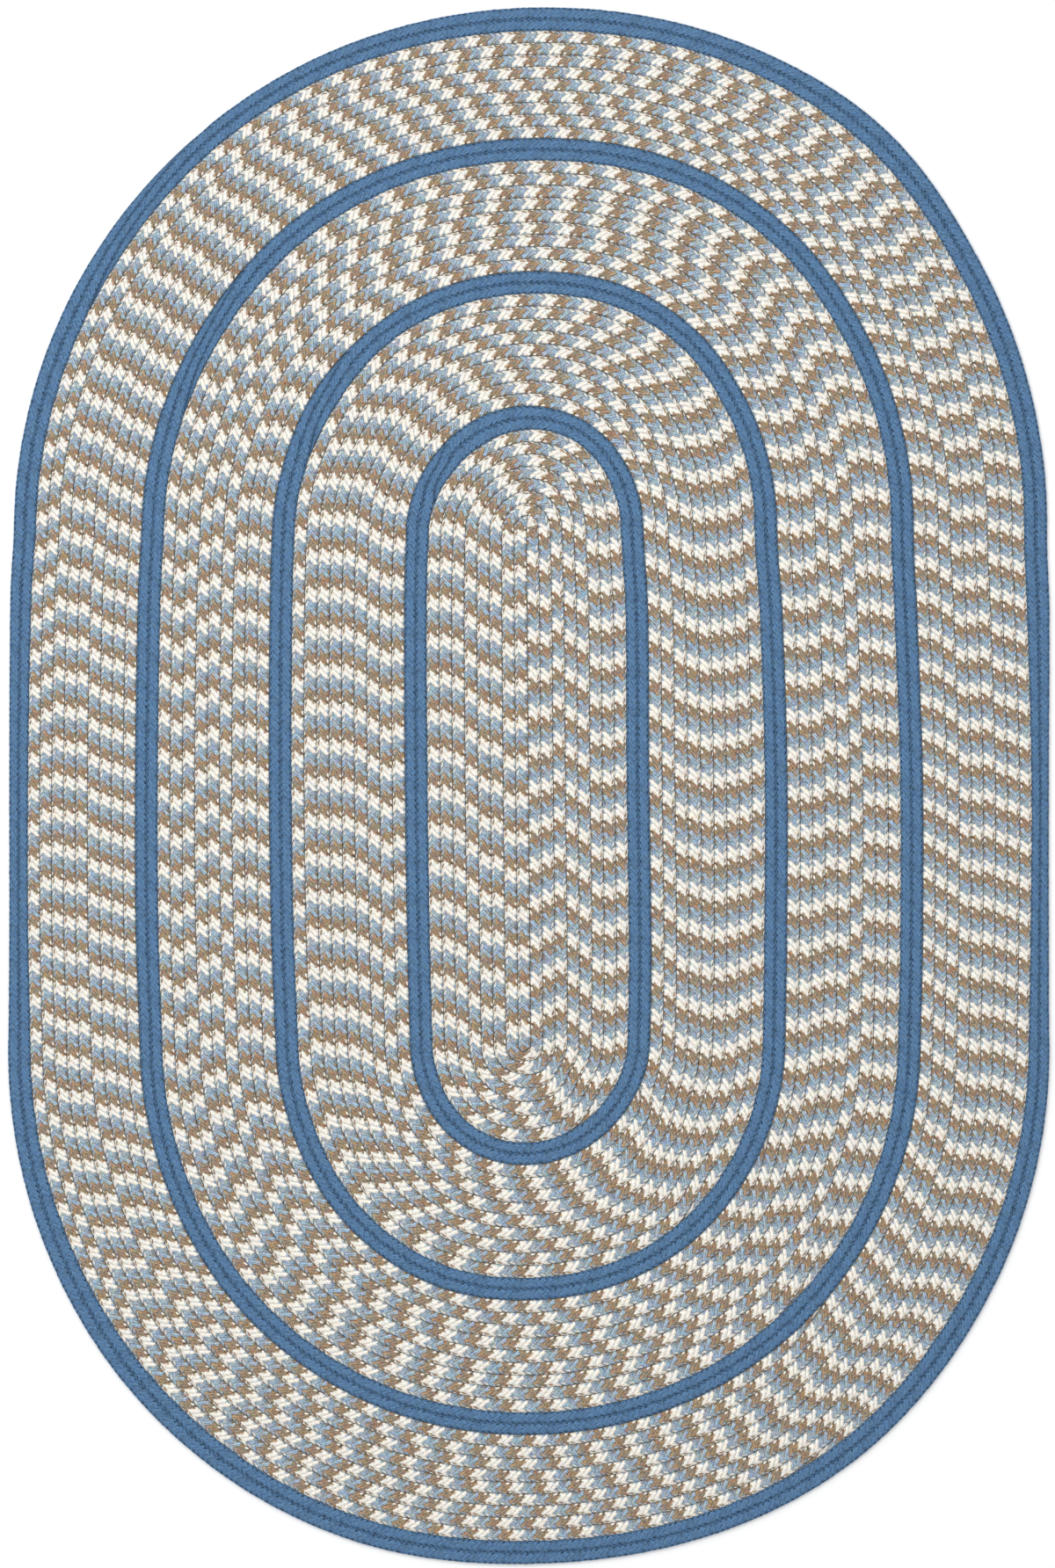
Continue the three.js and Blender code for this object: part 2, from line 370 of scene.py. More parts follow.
def braid_mesh(name, run, start, end, sizes, seed):
    """A closed flat braid from one stitch of its run to another, wound on the rug.

    It begins as a flat grid, one column for each step along the braid, which is rolled
    up round the section, joined along its edge and laid on the run."""
    first = math.ceil(start * STEPS_PER_STITCH)
    steps = math.floor(end * STEPS_PER_STITCH) - first
    columns = len(SECTION)
    bm = bmesh.new()
    bm.loops.layers.uv.new(WEAVE_MAP)
    bmesh.ops.create_grid(
        bm, x_segments=steps, y_segments=columns, size=0.5, calc_uvs=True)
    mesh = bpy.data.meshes.new(name)
    bm.to_mesh(mesh)
    co = np.zeros(len(mesh.vertices) * 3)
    mesh.vertices.foreach_get("co", co)
    co = co.reshape(-1, 3)
    along = np.rint((co[:, 0] + 0.5) * steps).astype(int) + first
    around = np.rint((co[:, 1] + 0.5) * columns).astype(int) % columns

    section = np.array(SECTION)
    across, height, lean = section[around].T
    crest = np.where(along % STEPS_PER_STITCH == 0, 0.0, 1.0)
    random = np.random.default_rng(seed)
    uneven = random.normal(0, 1, size=(steps + 1, 2))[along - first]
    stitch = along / STEPS_PER_STITCH
    place = run.place_at(stitch + lean * run.lean_share(stitch))
    width = run.width_share(place)
    swing = across * (1 + sizes.stitch_swing * crest * width)
    swing = swing + sizes.unevenness * uneven[:, 1] * width
    x, y = run.point(place, swing)
    tall = width**TAPER_POWER
    z = (1 + height * (1 - sizes.stitch_relief * (1 - crest))) / 2
    z = z + sizes.unevenness * uneven[:, 0] * np.abs(height)
    co[:, 0] = x
    co[:, 1] = y
    co[:, 2] = np.maximum(z * tall * sizes.thickness, LOWEST)
    mesh.vertices.foreach_set("co", co.ravel())

    uv = np.zeros(len(mesh.loops) * 2)
    corners = np.zeros(len(mesh.loops), dtype=int)
    layer = mesh.uv_layers[WEAVE_MAP]
    layer.data.foreach_get("uv", uv)
    mesh.loops.foreach_get("vertex_index", corners)
    uv = uv.reshape(-1, 2)
    uv[:, 0] = along[corners] / (STEPS_PER_STITCH * STITCHES_PER_REPEAT)
    uv[:, 1] = around_map()[np.rint(uv[:, 1] * columns).astype(int)]
    layer.data.foreach_set("uv", uv.ravel())

    bm.clear()
    bm.from_mesh(mesh)
    bmesh.ops.remove_doubles(bm, verts=bm.verts, dist=JOIN_DISTANCE)
    rims = [edge for edge in bm.edges if edge.is_boundary]
    bmesh.ops.edgeloop_fill(bm, edges=rims)
    if bm.calc_volume(signed=True) < 0:
        bmesh.ops.reverse_faces(bm, faces=bm.faces)
    for face in bm.faces:
        face.smooth = True
    bm.to_mesh(mesh)
    bm.free()
    return mesh


def add_piece(mesh, material, node):
    """Links a mesh as a piece of the rug that stands for a solid node."""
    mesh.materials.append(material)
    piece = bpy.data.objects.new(mesh.name, mesh)
    bpy.context.scene.collection.objects.link(piece)
    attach(piece, "root")
    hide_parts(node)
    return piece


def band_width(band):
    places = np.arange(0, LAP, FINE_STEP)
    inner, outer = band.radii(places)
    return float(np.mean(outer - inner))


def wind_band(band, material, sizes, parts=1):
    """Winds a band's braid, in one or more lengths."""
    run = BraidRun(band)
    ends = np.linspace(run.stitches[0], run.stitches[-1], parts + 1)
    ends[1:-1] = np.rint(ends[1:-1])  # two lengths meet at a whole stitch
    for part in range(parts):
        name = f"{band.name}_braid" + (f"_{part + 1}" if parts > 1 else "")
        mesh = braid_mesh(name, run, ends[part], ends[part + 1], sizes, seed=part)
        piece = add_piece(mesh, material, band.name)
        width = band_width(band) / parts
        length = run.length / parts * band_width(band) / band.rounds / width


# ---- Node helpers ----


def put(tree, kind, **settings):
    """Adds a node and sets its settings."""
    node = tree.nodes.new(kind)
    for key, value in settings.items():
        setattr(node, key, value)
    return node


def feed(tree, value, socket):
    """Links a socket, or sets a plain value, on an input socket."""
    if isinstance(value, bpy.types.NodeSocket):
        tree.links.new(value, socket)
    else:
        socket.default_value = value


def maths(tree, operation, first, second=0.0, third=0.0, clamp=False):
    node = put(tree, "ShaderNodeMath", operation=operation, use_clamp=clamp)
    for value, socket in zip((first, second, third), node.inputs):
        feed(tree, value, socket)
    return node.outputs[0]


def mix_value(tree, factor, first, second):
    node = put(tree, "ShaderNodeMix", data_type="FLOAT")
    feed(tree, factor, node.inputs[0])
    feed(tree, first, node.inputs[2])
    feed(tree, second, node.inputs[3])
    return node.outputs[0]


def mix_colour(tree, factor, first, second, blend="MIX"):
    node = put(tree, "ShaderNodeMix", data_type="RGBA", blend_type=blend)
    feed(tree, factor, node.inputs[0])
    feed(tree, first, node.inputs[6])
    feed(tree, second, node.inputs[7])
    return node.outputs[2]


def map_range(tree, value, low, high, to_low=0.0, to_high=1.0, smooth=True):
    kind = "SMOOTHSTEP" if smooth else "LINEAR"
    node = put(tree, "ShaderNodeMapRange", interpolation_type=kind, clamp=True)
    for number, socket in zip((value, low, high, to_low, to_high), node.inputs):
        feed(tree, number, socket)
    return node.outputs[0]


def noise_node(tree, vector, scale, detail):
    node = put(tree, "ShaderNodeTexNoise")
    feed(tree, vector, node.inputs["Vector"])
    feed(tree, scale, node.inputs["Scale"])
    feed(tree, detail, node.inputs["Detail"])
    return node


def noise(tree, vector, scale, detail):
    return noise_node(tree, vector, scale, detail).outputs[0]


def three_noises(tree, vector, scale, detail):
    """Three unrelated noises at once, as the outputs of one node."""
    colour = noise_node(tree, vector, scale, detail).outputs["Color"]
    return split_up(tree, colour).outputs


def split_up(tree, vector):
    """The three parts of a vector or colour, as the outputs of the node returned."""
    node = put(tree, "ShaderNodeSeparateXYZ")
    feed(tree, vector, node.inputs[0])
    return node


def distance(tree, first, second):
    """Length of the flat vector with these two parts."""
    squared = maths(tree, "MULTIPLY", second, second)
    return maths(tree, "SQRT", maths(tree, "MULTIPLY_ADD", first, first, squared))


def new_group(name, inputs, outputs):
    """A shader node group with named sockets, and its two ends."""
    group = bpy.data.node_groups.new(name, "ShaderNodeTree")
    for title, kind, default in inputs:
        socket = group.interface.new_socket(name=title, in_out="INPUT", socket_type=kind)
        if default is not None:
            socket.default_value = default
    for title, kind in outputs:
        group.interface.new_socket(name=title, in_out="OUTPUT", socket_type=kind)
    source = put(group, "NodeGroupInput")
    drain = put(group, "NodeGroupOutput")
    return group, source, drain


def use_group(tree, group, **values):
    node = put(tree, "ShaderNodeGroup", node_tree=group)
    for title, value in values.items():
        feed(tree, value, node.inputs[title.replace("_", " ")])
    return node


# ---- Weave ----

# Loops of the strands that turn over at the braid's sides. They show as small ovals:
# where each stands in its stitch and across the braid, its reach both ways, its tilt,
# how many strands on it is from the stitch it lies in, and the first strand of a repeat
# that shows there, as a share of the repeat.
LOOPS = (
    # middle, side, reach, side_reach, tilt, strand_shift, shown_from
    (0.12, 0.11, 0.31, 0.09, 0.0, -2.0, 0.0),
    (0.40, 0.82, 0.36, 0.085, 0.1, 1.0, 0.0),
    (-0.05, 0.95, 0.30, 0.065, 0.0, -2.0, 0.66),
)
TEETH = 4.5  # steps that a stitch's edge makes across the braid
TOOTH = 0.12  # how far each step stands out, in stitches
WOBBLE = 0.5  # how unevenly the edges of a stitch run, in stitches
SIDE_WOBBLE = 0.07  # the same to the sides, in widths of the braid
WOBBLE_SCALE = 270.0  # how fine that unevenness is
DOME_POWER = 0.8  # under 1 makes a lump fuller, over 1 more pointed
STITCH_EDGE = 0.25  # height of a stitch's edge, as a share of its middle
LOOP_EDGE = 0.4  # the same for a loop
LOOP_HOLLOW = 0.65  # how low a stitch sinks beside a loop, as a share of its height
LOOP_HOLLOW_REACH = 1.5  # where that ends, in reaches of the loop
HIDE = 2.0  # added to a loop's distance, it puts the loop out of sight
# Shade is painted along the seams with the next rounds, over these ranges across the braid.
INNER_SEAM = (0.03, 0.11)  # where the inner seam ends across the braid, from full to none
OUTER_SEAM = (0.93, 0.99)  # where the outer seam begins, from none to full


def across_braid(tree, split):
    """0 at the braid's inner side and 1 at its outer side, above and below."""
    fold = maths(tree, "MULTIPLY_ADD", split.outputs[1], 2.0, -1.0)
    return maths(tree, "SUBTRACT", 1.0, maths(tree, "ABSOLUTE", fold))


def dome(tree, far):
    """Height of a round lump, from 1 in its middle to 0 where far is 1."""
    left = maths(tree, "SUBTRACT", 1.0, maths(tree, "MULTIPLY", far, far), clamp=True)
    return maths(tree, "POWER", left, DOME_POWER)


def raised(tree, far, edge):
    """Height of a stitch or loop, from 1 in its middle to its edge's height."""
    return maths(tree, "MULTIPLY_ADD", dome(tree, far), 1 - edge, edge)


def repeat_share(tree, strand):
    """Where a strand stands in its repeat of the colours, from 0 to 1."""
    middle = maths(tree, "ADD", strand, 0.5)
    return maths(tree, "FRACT", maths(tree, "DIVIDE", middle, float(STITCHES_PER_REPEAT)))


def stitch_group():
    """The strand that shows at a point of the braid, the height of its stitch and how
    near the point is to the seam with the next round."""
    tree, source, drain = new_group(
        "Braid Stitch",
        [("Weave", "NodeSocketVector", None), ("Place", "NodeSocketVector", None)],
        [
            ("Strand", "NodeSocketFloat"),
            ("Height", "NodeSocketFloat"),
            ("Loop", "NodeSocketFloat"),
            ("Seam", "NodeSocketFloat"),
        ],
    )
    split = split_up(tree, source.outputs["Weave"])
    uneven = three_noises(tree, source.outputs["Place"], WOBBLE_SCALE, 1.0)
    sideways = maths(tree, "MULTIPLY_ADD", uneven[1], SIDE_WOBBLE, -SIDE_WOBBLE / 2)
    across = maths(tree, "ADD", across_braid(tree, split), sideways)
    step = maths(tree, "PINGPONG", maths(tree, "MULTIPLY", across, TEETH), 0.5)
    tooth = maths(tree, "MULTIPLY", maths(tree, "SUBTRACT", step, 0.25), 2 * TOOTH)
    wobble = maths(tree, "MULTIPLY_ADD", uneven[0], WOBBLE, -WOBBLE / 2)
    stitches = maths(
        tree, "MULTIPLY_ADD", split.outputs[0], float(STITCHES_PER_REPEAT), tooth)
    stitches = maths(tree, "ADD", stitches, wobble)
    strand = maths(tree, "FLOOR", stitches)
    aside = maths(tree, "MULTIPLY_ADD", maths(tree, "FRACT", stitches), 2.0, -1.0)
    height = raised(tree, aside, STITCH_EDGE)
    loop = 0.0
    for middle, side, reach, side_reach, tilt, strand_shift, shown_from in LOOPS:
        from_middle = maths(tree, "SUBTRACT", stitches, middle)
        owner = maths(tree, "ROUND", from_middle)
        along = maths(tree, "SUBTRACT", from_middle, owner)
        beside = maths(tree, "MULTIPLY_ADD", along, tilt, across)
        beside = maths(tree, "DIVIDE", maths(tree, "SUBTRACT", beside, side), side_reach)
        along = maths(tree, "DIVIDE", along, reach)
        far = distance(tree, along, beside)
        loop_strand = maths(tree, "ADD", owner, strand_shift)
        hidden = maths(tree, "LESS_THAN", repeat_share(tree, loop_strand), shown_from)
        far = maths(tree, "MULTIPLY_ADD", hidden, HIDE, far)
        inside = maths(tree, "LESS_THAN", far, 1.0)
        loop = maths(tree, "MAXIMUM", loop, inside)
        strand = mix_value(tree, inside, strand, loop_strand)
        hollow = map_range(tree, far, 1.0, LOOP_HOLLOW_REACH, LOOP_HOLLOW, 1.0)
        sunk = maths(tree, "MULTIPLY", height, hollow)
        height = mix_value(tree, inside, sunk, raised(tree, far, LOOP_EDGE))
    feed(tree, repeat_share(tree, strand), drain.inputs["Strand"])
    feed(tree, height, drain.inputs["Height"])
    feed(tree, loop, drain.inputs["Loop"])
    # Seam: where shade is painted beside the next round, full at the braid's sides.
    inner_seam = map_range(tree, across, *INNER_SEAM, 1.0, 0.0)
    outer_seam = map_range(tree, across, *OUTER_SEAM, 0.0, 1.0)
    feed(tree, maths(tree, "MAXIMUM", inner_seam, outer_seam), drain.inputs["Seam"])
    return tree


# ---- Yarn ----

STREAKS_PER_STITCH = 3.5
STREAKS_ACROSS = 3.0
STREAK = 1.4  # how strong the streaks along the strand are
SPECK = 1.1  # and how strong the specks are
SPECK_SCALE = 420.0
LEAST_GAIN = 0.25  # the darkest fleck, as a share of the yarn's colour
DRIFT_SCALE = 140.0  # how fine the shifts of warmth are
OLIVE = 0.6  # strength of the green shift, as a share of the warm one


def yarn_group():
    """Heathered strands: light and dark flecks drawn out along the strand, and slow
    shifts of shade and warmth. The flecks repeat with the weave."""
    tree, source, drain = new_group(
        "Heathered Yarn",
        [
            ("Weave", "NodeSocketVector", None),
            ("Place", "NodeSocketVector", None),
            ("Colour", "NodeSocketColor", (0.5, 0.5, 0.5, 1.0)),
            ("Fleck", "NodeSocketFloat", 0.2),
            ("Tint", "NodeSocketFloat", 0.3),
        ],
        [("Colour", "NodeSocketColor"), ("Height", "NodeSocketFloat")],
    )
    split = split_up(tree, source.outputs["Weave"])
    turn = maths(tree, "MULTIPLY", split.outputs[0], 2 * math.pi)
    radius = STREAKS_PER_STITCH * STITCHES_PER_REPEAT / (2 * math.pi)
    ring = put(tree, "ShaderNodeCombineXYZ")
    feed(tree, maths(tree, "MULTIPLY", maths(tree, "COSINE", turn), radius), ring.inputs[0])
    feed(tree, maths(tree, "MULTIPLY", maths(tree, "SINE", turn), radius), ring.inputs[1])
    across = maths(tree, "MULTIPLY", across_braid(tree, split), STREAKS_ACROSS)
    feed(tree, across, ring.inputs[2])
    place = source.outputs["Place"]
    streak = maths(tree, "SUBTRACT", noise(tree, ring.outputs[0], 1.0, 1.0), 0.5)
    speck = maths(tree, "SUBTRACT", noise(tree, place, SPECK_SCALE, 1.5), 0.5)
    flecks = maths(tree, "MULTIPLY_ADD", speck, SPECK, 1.0)
    flecks = maths(tree, "MULTIPLY_ADD", streak, STREAK, flecks)
    gain = maths(tree, "SUBTRACT", flecks, 1.0)
    gain = maths(tree, "MULTIPLY_ADD", gain, source.outputs["Fleck"], 1.0)
    gain = maths(tree, "MAXIMUM", gain, LEAST_GAIN)
    drift = three_noises(tree, place, DRIFT_SCALE, 1.0)
    tint = source.outputs["Tint"]
    warmth = maths(tree, "MULTIPLY", maths(tree, "SUBTRACT", drift[0], 0.5), tint)
    olive = maths(tree, "MULTIPLY", maths(tree, "SUBTRACT", drift[1], 0.5), tint)
    toning = put(tree, "ShaderNodeCombineXYZ")
    feed(tree, maths(tree, "ADD", 1.0, warmth), toning.inputs[0])
    feed(tree, maths(tree, "MULTIPLY_ADD", olive, OLIVE, 1.0), toning.inputs[1])
    feed(tree, maths(tree, "SUBTRACT", 1.0, warmth), toning.inputs[2])
    tinted = mix_colour(tree, 1.0, source.outputs["Colour"], toning.outputs[0], "MULTIPLY")
    scaled = put(tree, "ShaderNodeVectorMath", operation="SCALE")
    feed(tree, tinted, scaled.inputs[0])
    feed(tree, gain, scaled.inputs["Scale"])
    feed(tree, scaled.outputs[0], drain.inputs["Colour"])
    feed(tree, flecks, drain.inputs["Height"])
    return tree


# ---- Cloth ----

CLOTH_ROUGHNESS = 0.95
CLOTH_SPECULAR = 0.15
BUMP_STRENGTH = 0.8
BUMP_DISTANCE = 0.0016
YARN_RELIEF = 0.25  # height of the yarn's flecks, as a share of a stitch's
# Painted shade in the gaps between stitches fades out over the next range of heights.
GAP_SHADE_RANGE = (0.2, 0.75)  # heights of a stitch between which its gap fades out
YARN_RANGE = (0.75, 1.25)  # heights of the yarn that the next range belongs to
BROKEN_SHADE = (0.6, 1.3)  # how much of the shade low and high yarn takes
LOOP_BARE = 0.6  # share of the seam's shade that a loop keeps off


def rgba(colour):
    return (*colour, 1.0)


def cloth_material(name):
    """A matt fabric material, its shader and the nodes that place the weave on it."""
    material = bpy.data.materials.new(name)
    material.use_nodes = True
    tree = material.node_tree
    shader = tree.nodes["Principled BSDF"]
    shader.inputs["Roughness"].default_value = CLOTH_ROUGHNESS
    shader.inputs["Specular IOR Level"].default_value = CLOTH_SPECULAR
    weave = put(tree, "ShaderNodeUVMap", uv_map=WEAVE_MAP)
    place = put(tree, "ShaderNodeTexCoord")
    return material, tree, shader, weave.outputs[0], place.outputs["Object"]


def shade_group():
    """The yarn with painted shade along the seams between rounds and in the gaps between
    stitches, and the height of stitch and yarn together."""
    tree, source, drain = new_group(
        "Braid Shade",
        [
            ("Colour", "NodeSocketColor", (0.5, 0.5, 0.5, 1.0)),
            ("Shade", "NodeSocketColor", (0.1, 0.1, 0.1, 1.0)),
            ("Stitch Height", "NodeSocketFloat", 1.0),
            ("Yarn Height", "NodeSocketFloat", 1.0),
            ("Loop", "NodeSocketFloat", 0.0),
            ("Seam", "NodeSocketFloat", 0.0),
            ("Gap Depth", "NodeSocketFloat", 0.3),
            ("Seam Depth", "NodeSocketFloat", 0.1),
        ],
        [("Colour", "NodeSocketColor"), ("Height", "NodeSocketFloat")],
    )
    given = source.outputs
    broken = map_range(
        tree, given["Yarn Height"], *YARN_RANGE, *BROKEN_SHADE, smooth=False)
    # Painted shade in the gaps between stitches, where the stitch is low.
    gap = map_range(tree, given["Stitch Height"], *GAP_SHADE_RANGE, 1.0, 0.0)
    gap = maths(tree, "MULTIPLY", gap, given["Gap Depth"])
    gap = maths(tree, "MULTIPLY", gap, broken, clamp=True)
    colour = mix_colour(tree, gap, given["Colour"], given["Shade"])
    # Painted shade along the seams between rounds, partly kept off the loops.
    bare = maths(tree, "MULTIPLY_ADD", given["Loop"], -LOOP_BARE, 1.0)
    seam = maths(tree, "MULTIPLY", given["Seam"], bare)
    seam = maths(tree, "MULTIPLY", seam, given["Seam Depth"])
    seam = maths(tree, "MULTIPLY", seam, broken, clamp=True)
    feed(tree, mix_colour(tree, seam, colour, given["Shade"]), drain.inputs["Colour"])
    height = maths(
        tree, "MULTIPLY_ADD", given["Yarn Height"], YARN_RELIEF, given["Stitch Height"])
    feed(tree, height, drain.inputs["Height"])
    return tree


def finish_cloth(tree, shader, shade_tree, stitch, yarn, shade, gap_depth, seam_depth):
    """Feeds the shaded yarn and its relief into a cloth's shader."""
    cloth = use_group(
        tree, shade_tree, Colour=yarn.outputs["Colour"], Shade=shade,
        Stitch_Height=stitch.outputs["Height"], Yarn_Height=yarn.outputs["Height"],
        Loop=stitch.outputs["Loop"], Seam=stitch.outputs["Seam"],
        Gap_Depth=gap_depth, Seam_Depth=seam_depth)
    feed(tree, cloth.outputs["Colour"], shader.inputs["Base Color"])
    bump = put(tree, "ShaderNodeBump")
    bump.inputs["Strength"].default_value = BUMP_STRENGTH
    bump.inputs["Distance"].default_value = BUMP_DISTANCE
    feed(tree, cloth.outputs["Height"], bump.inputs["Height"])
    feed(tree, bump.outputs[0], shader.inputs["Normal"])


# ---- Mixed cloth ----

# How each pair of strands looks: its flecks, its shifts of warmth, and how dark the painted
# shade is in its gaps and along the seams beside it.
STRAND_LOOKS = {
    # tan, light blue, cream
    "fleck": (1.7, 1.5, 0.75),
    "tint": (0.9, 0.75, 0.28),
    "gap": (0.5, 0.5, 0.2),
    "seam": (0.3, 0.75, 0.55),
}


def strand_ramp(tree, stitch, shades):
    """One colour for each of the three pairs of strands."""
    ramp = put(tree, "ShaderNodeValToRGB")
    ramp.color_ramp.interpolation = "CONSTANT"
    stops = ramp.color_ramp.elements
    stops.new(2 / 3)
    for index, shade in enumerate(shades):
        stops[index].position = index / 3
        stops[index].color = shade
    feed(tree, stitch.outputs["Strand"], ramp.inputs[0])
    return ramp.outputs[0]


def grey(value):
    return (value, value, value, 1.0)


def mixed_material(stitch_tree, yarn_tree, shade_tree, colours):
    material, tree, shader, weave, place = cloth_material("mixed_braid_cloth")
    stitch = use_group(tree, stitch_tree, Weave=weave, Place=place)
    yarns = (rgba(colours.tan), rgba(colours.light_blue), rgba(colours.cream))
    colour = strand_ramp(tree, stitch, yarns)
    look = {
        name: strand_ramp(tree, stitch, [grey(value) for value in values])
        for name, values in STRAND_LOOKS.items()
    }
    yarn = use_group(
        tree, yarn_tree, Weave=weave, Place=place, Colour=colour,
        Fleck=look["fleck"], Tint=look["tint"])
    shade = rgba(colours.seam)
    finish_cloth(tree, shader, shade_tree, stitch, yarn, shade, look["gap"], look["seam"])
    return material


# ---- Blue cloth ----

BLUE_FLECK = 1.0
BLUE_TINT = 0.3
# Painted shade in the blue braid: in its gaps, and none along its seams.
BLUE_GAP_SHADE = 0.12
BLUE_SEAM_SHADE = 0.0
# The sewing holes in the blue braid are dots of painted shade.
DOTS_PER_REPEAT = 6.0
DOT_LINE = 0.37  # how far from the middle of the braid the dots are, in its widths
DOT_LENGTH = 0.26  # reach of a dot along the braid, in the distance from dot to dot
DOT_WIDTH = 0.085  # its reach across, in widths of the braid
DOT_EDGE = (0.5, 1.1)  # where it fades out, in its reaches
DOT_SHADE = 0.95  # how dark the darkest dot is
DOT_SCALE = 90.0  # how fast the dots change in strength
DOT_NOISE = (0.3, 0.5)  # range of the noise that the next range belongs to
DOT_STRENGTH = (0.4, 1.0)


def sewing_hole_shade(tree, weave, place):
    """Painted shade in small dots in two lines along the braid, at the holes where it was sewn
    through.
    """
    split = split_up(tree, weave)
    aside = maths(tree, "SUBTRACT", across_braid(tree, split), 0.5)
    along = maths(tree, "MULTIPLY", split.outputs[0], DOTS_PER_REPEAT)
    half = maths(tree, "MULTIPLY", maths(tree, "GREATER_THAN", aside, 0.0), 0.5)
    along = maths(tree, "SUBTRACT", maths(tree, "FRACT", maths(tree, "ADD", along, half)), 0.5)
    beside = maths(tree, "SUBTRACT", maths(tree, "ABSOLUTE", aside), DOT_LINE)
    along = maths(tree, "DIVIDE", along, DOT_LENGTH)
    beside = maths(tree, "DIVIDE", beside, DOT_WIDTH)
    dot = map_range(tree, distance(tree, along, beside), *DOT_EDGE, DOT_SHADE, 0.0)
    change = noise(tree, place, DOT_SCALE, 0.0)
    return maths(tree, "MULTIPLY", dot, map_range(tree, change, *DOT_NOISE, *DOT_STRENGTH))


def blue_material(stitch_tree, yarn_tree, shade_tree, colours):
    material, tree, shader, weave, place = cloth_material("blue_braid_cloth")
    stitch = use_group(tree, stitch_tree, Weave=weave, Place=place)
    shade = rgba(colours.denim_shade)
    # Painted shade in the sewing holes.
    dots = sewing_hole_shade(tree, weave, place)
    colour = mix_colour(tree, dots, rgba(colours.denim), shade)
    yarn = use_group(
        tree, yarn_tree, Weave=weave, Place=place, Colour=colour,
        Fleck=BLUE_FLECK, Tint=BLUE_TINT)
    finish_cloth(tree, shader, shade_tree, stitch, yarn, shade, BLUE_GAP_SHADE, BLUE_SEAM_SHADE)
    return material


# ---- Settings ----


class RugSizes(bpy.types.PropertyGroup):
    thickness: bpy.props.FloatProperty(
        name="Thickness", description="Thickness of the braid", default=0.009, unit="LENGTH")
    stitch_relief: bpy.props.FloatProperty(
        name="Stitch relief", description="How far a stitch rises, as a share of the thickness",
        default=0.14, subtype="FACTOR")
    stitch_swing: bpy.props.FloatProperty(
        name="Stitch swing", description="How far a stitch swells sideways, as a share",
        default=0.05, subtype="FACTOR")
    unevenness: bpy.props.FloatProperty(
        name="Unevenness", description="How uneven the stitches are, as a share",
        default=0.02, subtype="FACTOR")


def colour_property(name, description, default):
    return bpy.props.FloatVectorProperty(
        name=name, description=description, default=default, subtype="COLOR",
        size=3, min=0.0, max=1.0)


class RugColours(bpy.types.PropertyGroup):
    tan: colour_property("Tan", "Tan strands", (0.305, 0.222, 0.15))
    light_blue: colour_property("Light blue", "Light blue strands", (0.34, 0.422, 0.498))
    cream: colour_property("Cream", "Cream strands", (0.81, 0.775, 0.705))
    # Colour of the painted shade in the seams between mixed rounds and in the gaps between their
    # stitches.
    seam: colour_property("Seam", "Shade between the mixed rounds", (0.085, 0.09, 0.08))
    denim: colour_property("Denim", "The blue braid", (0.091, 0.182, 0.32))
    # Colour of the painted shade in the blue braid's gaps and sewing holes; none is painted
    # between blue rounds.
    denim_shade: colour_property("Denim seam", "Shade between blue rounds", (0.02, 0.047, 0.085))
    floor: colour_property("Floor", "The pale floor", (0.95, 0.95, 0.945))


class StageSettings(bpy.types.PropertyGroup):
    camera_height: bpy.props.FloatProperty(
        name="Camera height", description="Height of the camera over the rug",
        default=9.0, unit="LENGTH")
    view_length: bpy.props.FloatProperty(
        name="View length", description="How much of the floor the picture's long side holds",
        default=2.76, unit="LENGTH")
    view_middle: bpy.props.FloatVectorProperty(
        name="View middle", description="Point of the floor that the camera looks at",
        default=(-0.0023, 0.0031), size=2, unit="LENGTH")
    sky: bpy.props.FloatProperty(
        name="Sky", description="Brightness of the even light from all round", default=0.72)
    lamp: bpy.props.FloatProperty(
        name="Lamp", description="Power of the large lamp", default=230.0, unit="POWER")


# ---- Operators ----


def cloth(name):
    """A cloth material by name, made with its groups when it is first asked for."""
    if name not in bpy.data.materials:
        colours = bpy.context.scene.rug_colours
        stitch_tree = stitch_group()
        yarn_tree = yarn_group()
        shade_tree = shade_group()
        mixed_material(stitch_tree, yarn_tree, shade_tree, colours)
        blue_material(stitch_tree, yarn_tree, shade_tree, colours)
    return bpy.data.materials[name]


class RUG_OT_mixed_bands(bpy.types.Operator):
    """Wind the centre oval and the three mixed bands"""

    bl_idname = "rug.mixed_bands"
    bl_label = "Wind Mixed Bands"

    def execute(self, context):
        sizes = context.scene.rug_sizes
        material = cloth("mixed_braid_cloth")
        for band in MIXED_BANDS:
            parts = 2 if band.name == "outer_band" else 1
            wind_band(band, material, sizes, parts)
        return {"FINISHED"}


class RUG_OT_blue_rings(bpy.types.Operator):
    """Wind the three blue rings and the blue border"""

    bl_idname = "rug.blue_rings"
    bl_label = "Wind Blue Rings"

    def execute(self, context):
        sizes = context.scene.rug_sizes
        material = cloth("blue_braid_cloth")
        for band in BLUE_BANDS:
            wind_band(band, material, sizes)
        return {"FINISHED"}


class RUG_OT_stage(bpy.types.Operator):
    """Set the floor, the soft light and the camera"""

    bl_idname = "rug.stage"
    bl_label = "Set Stage"

    def execute(self, context):
        scene = context.scene
        settings = scene.rug_stage
        scene.view_settings.view_transform = "Standard"
        make_floor(scene.rug_colours.floor)
        make_light(scene, settings)
        make_camera(scene, settings)
        return {"FINISHED"}


# ---- Stage ----

FLOOR_REACH = 30.0
FLOOR_CORNERS = 64
FLOOR_ROUGHNESS = 0.9
LAMP_SIZE = 5.0
LAMP_PLACE = Vector((-1.5, 1.8, 5.8))
SENSOR = 36.0
CAMERA_REACH = 200.0  # how far the camera sees


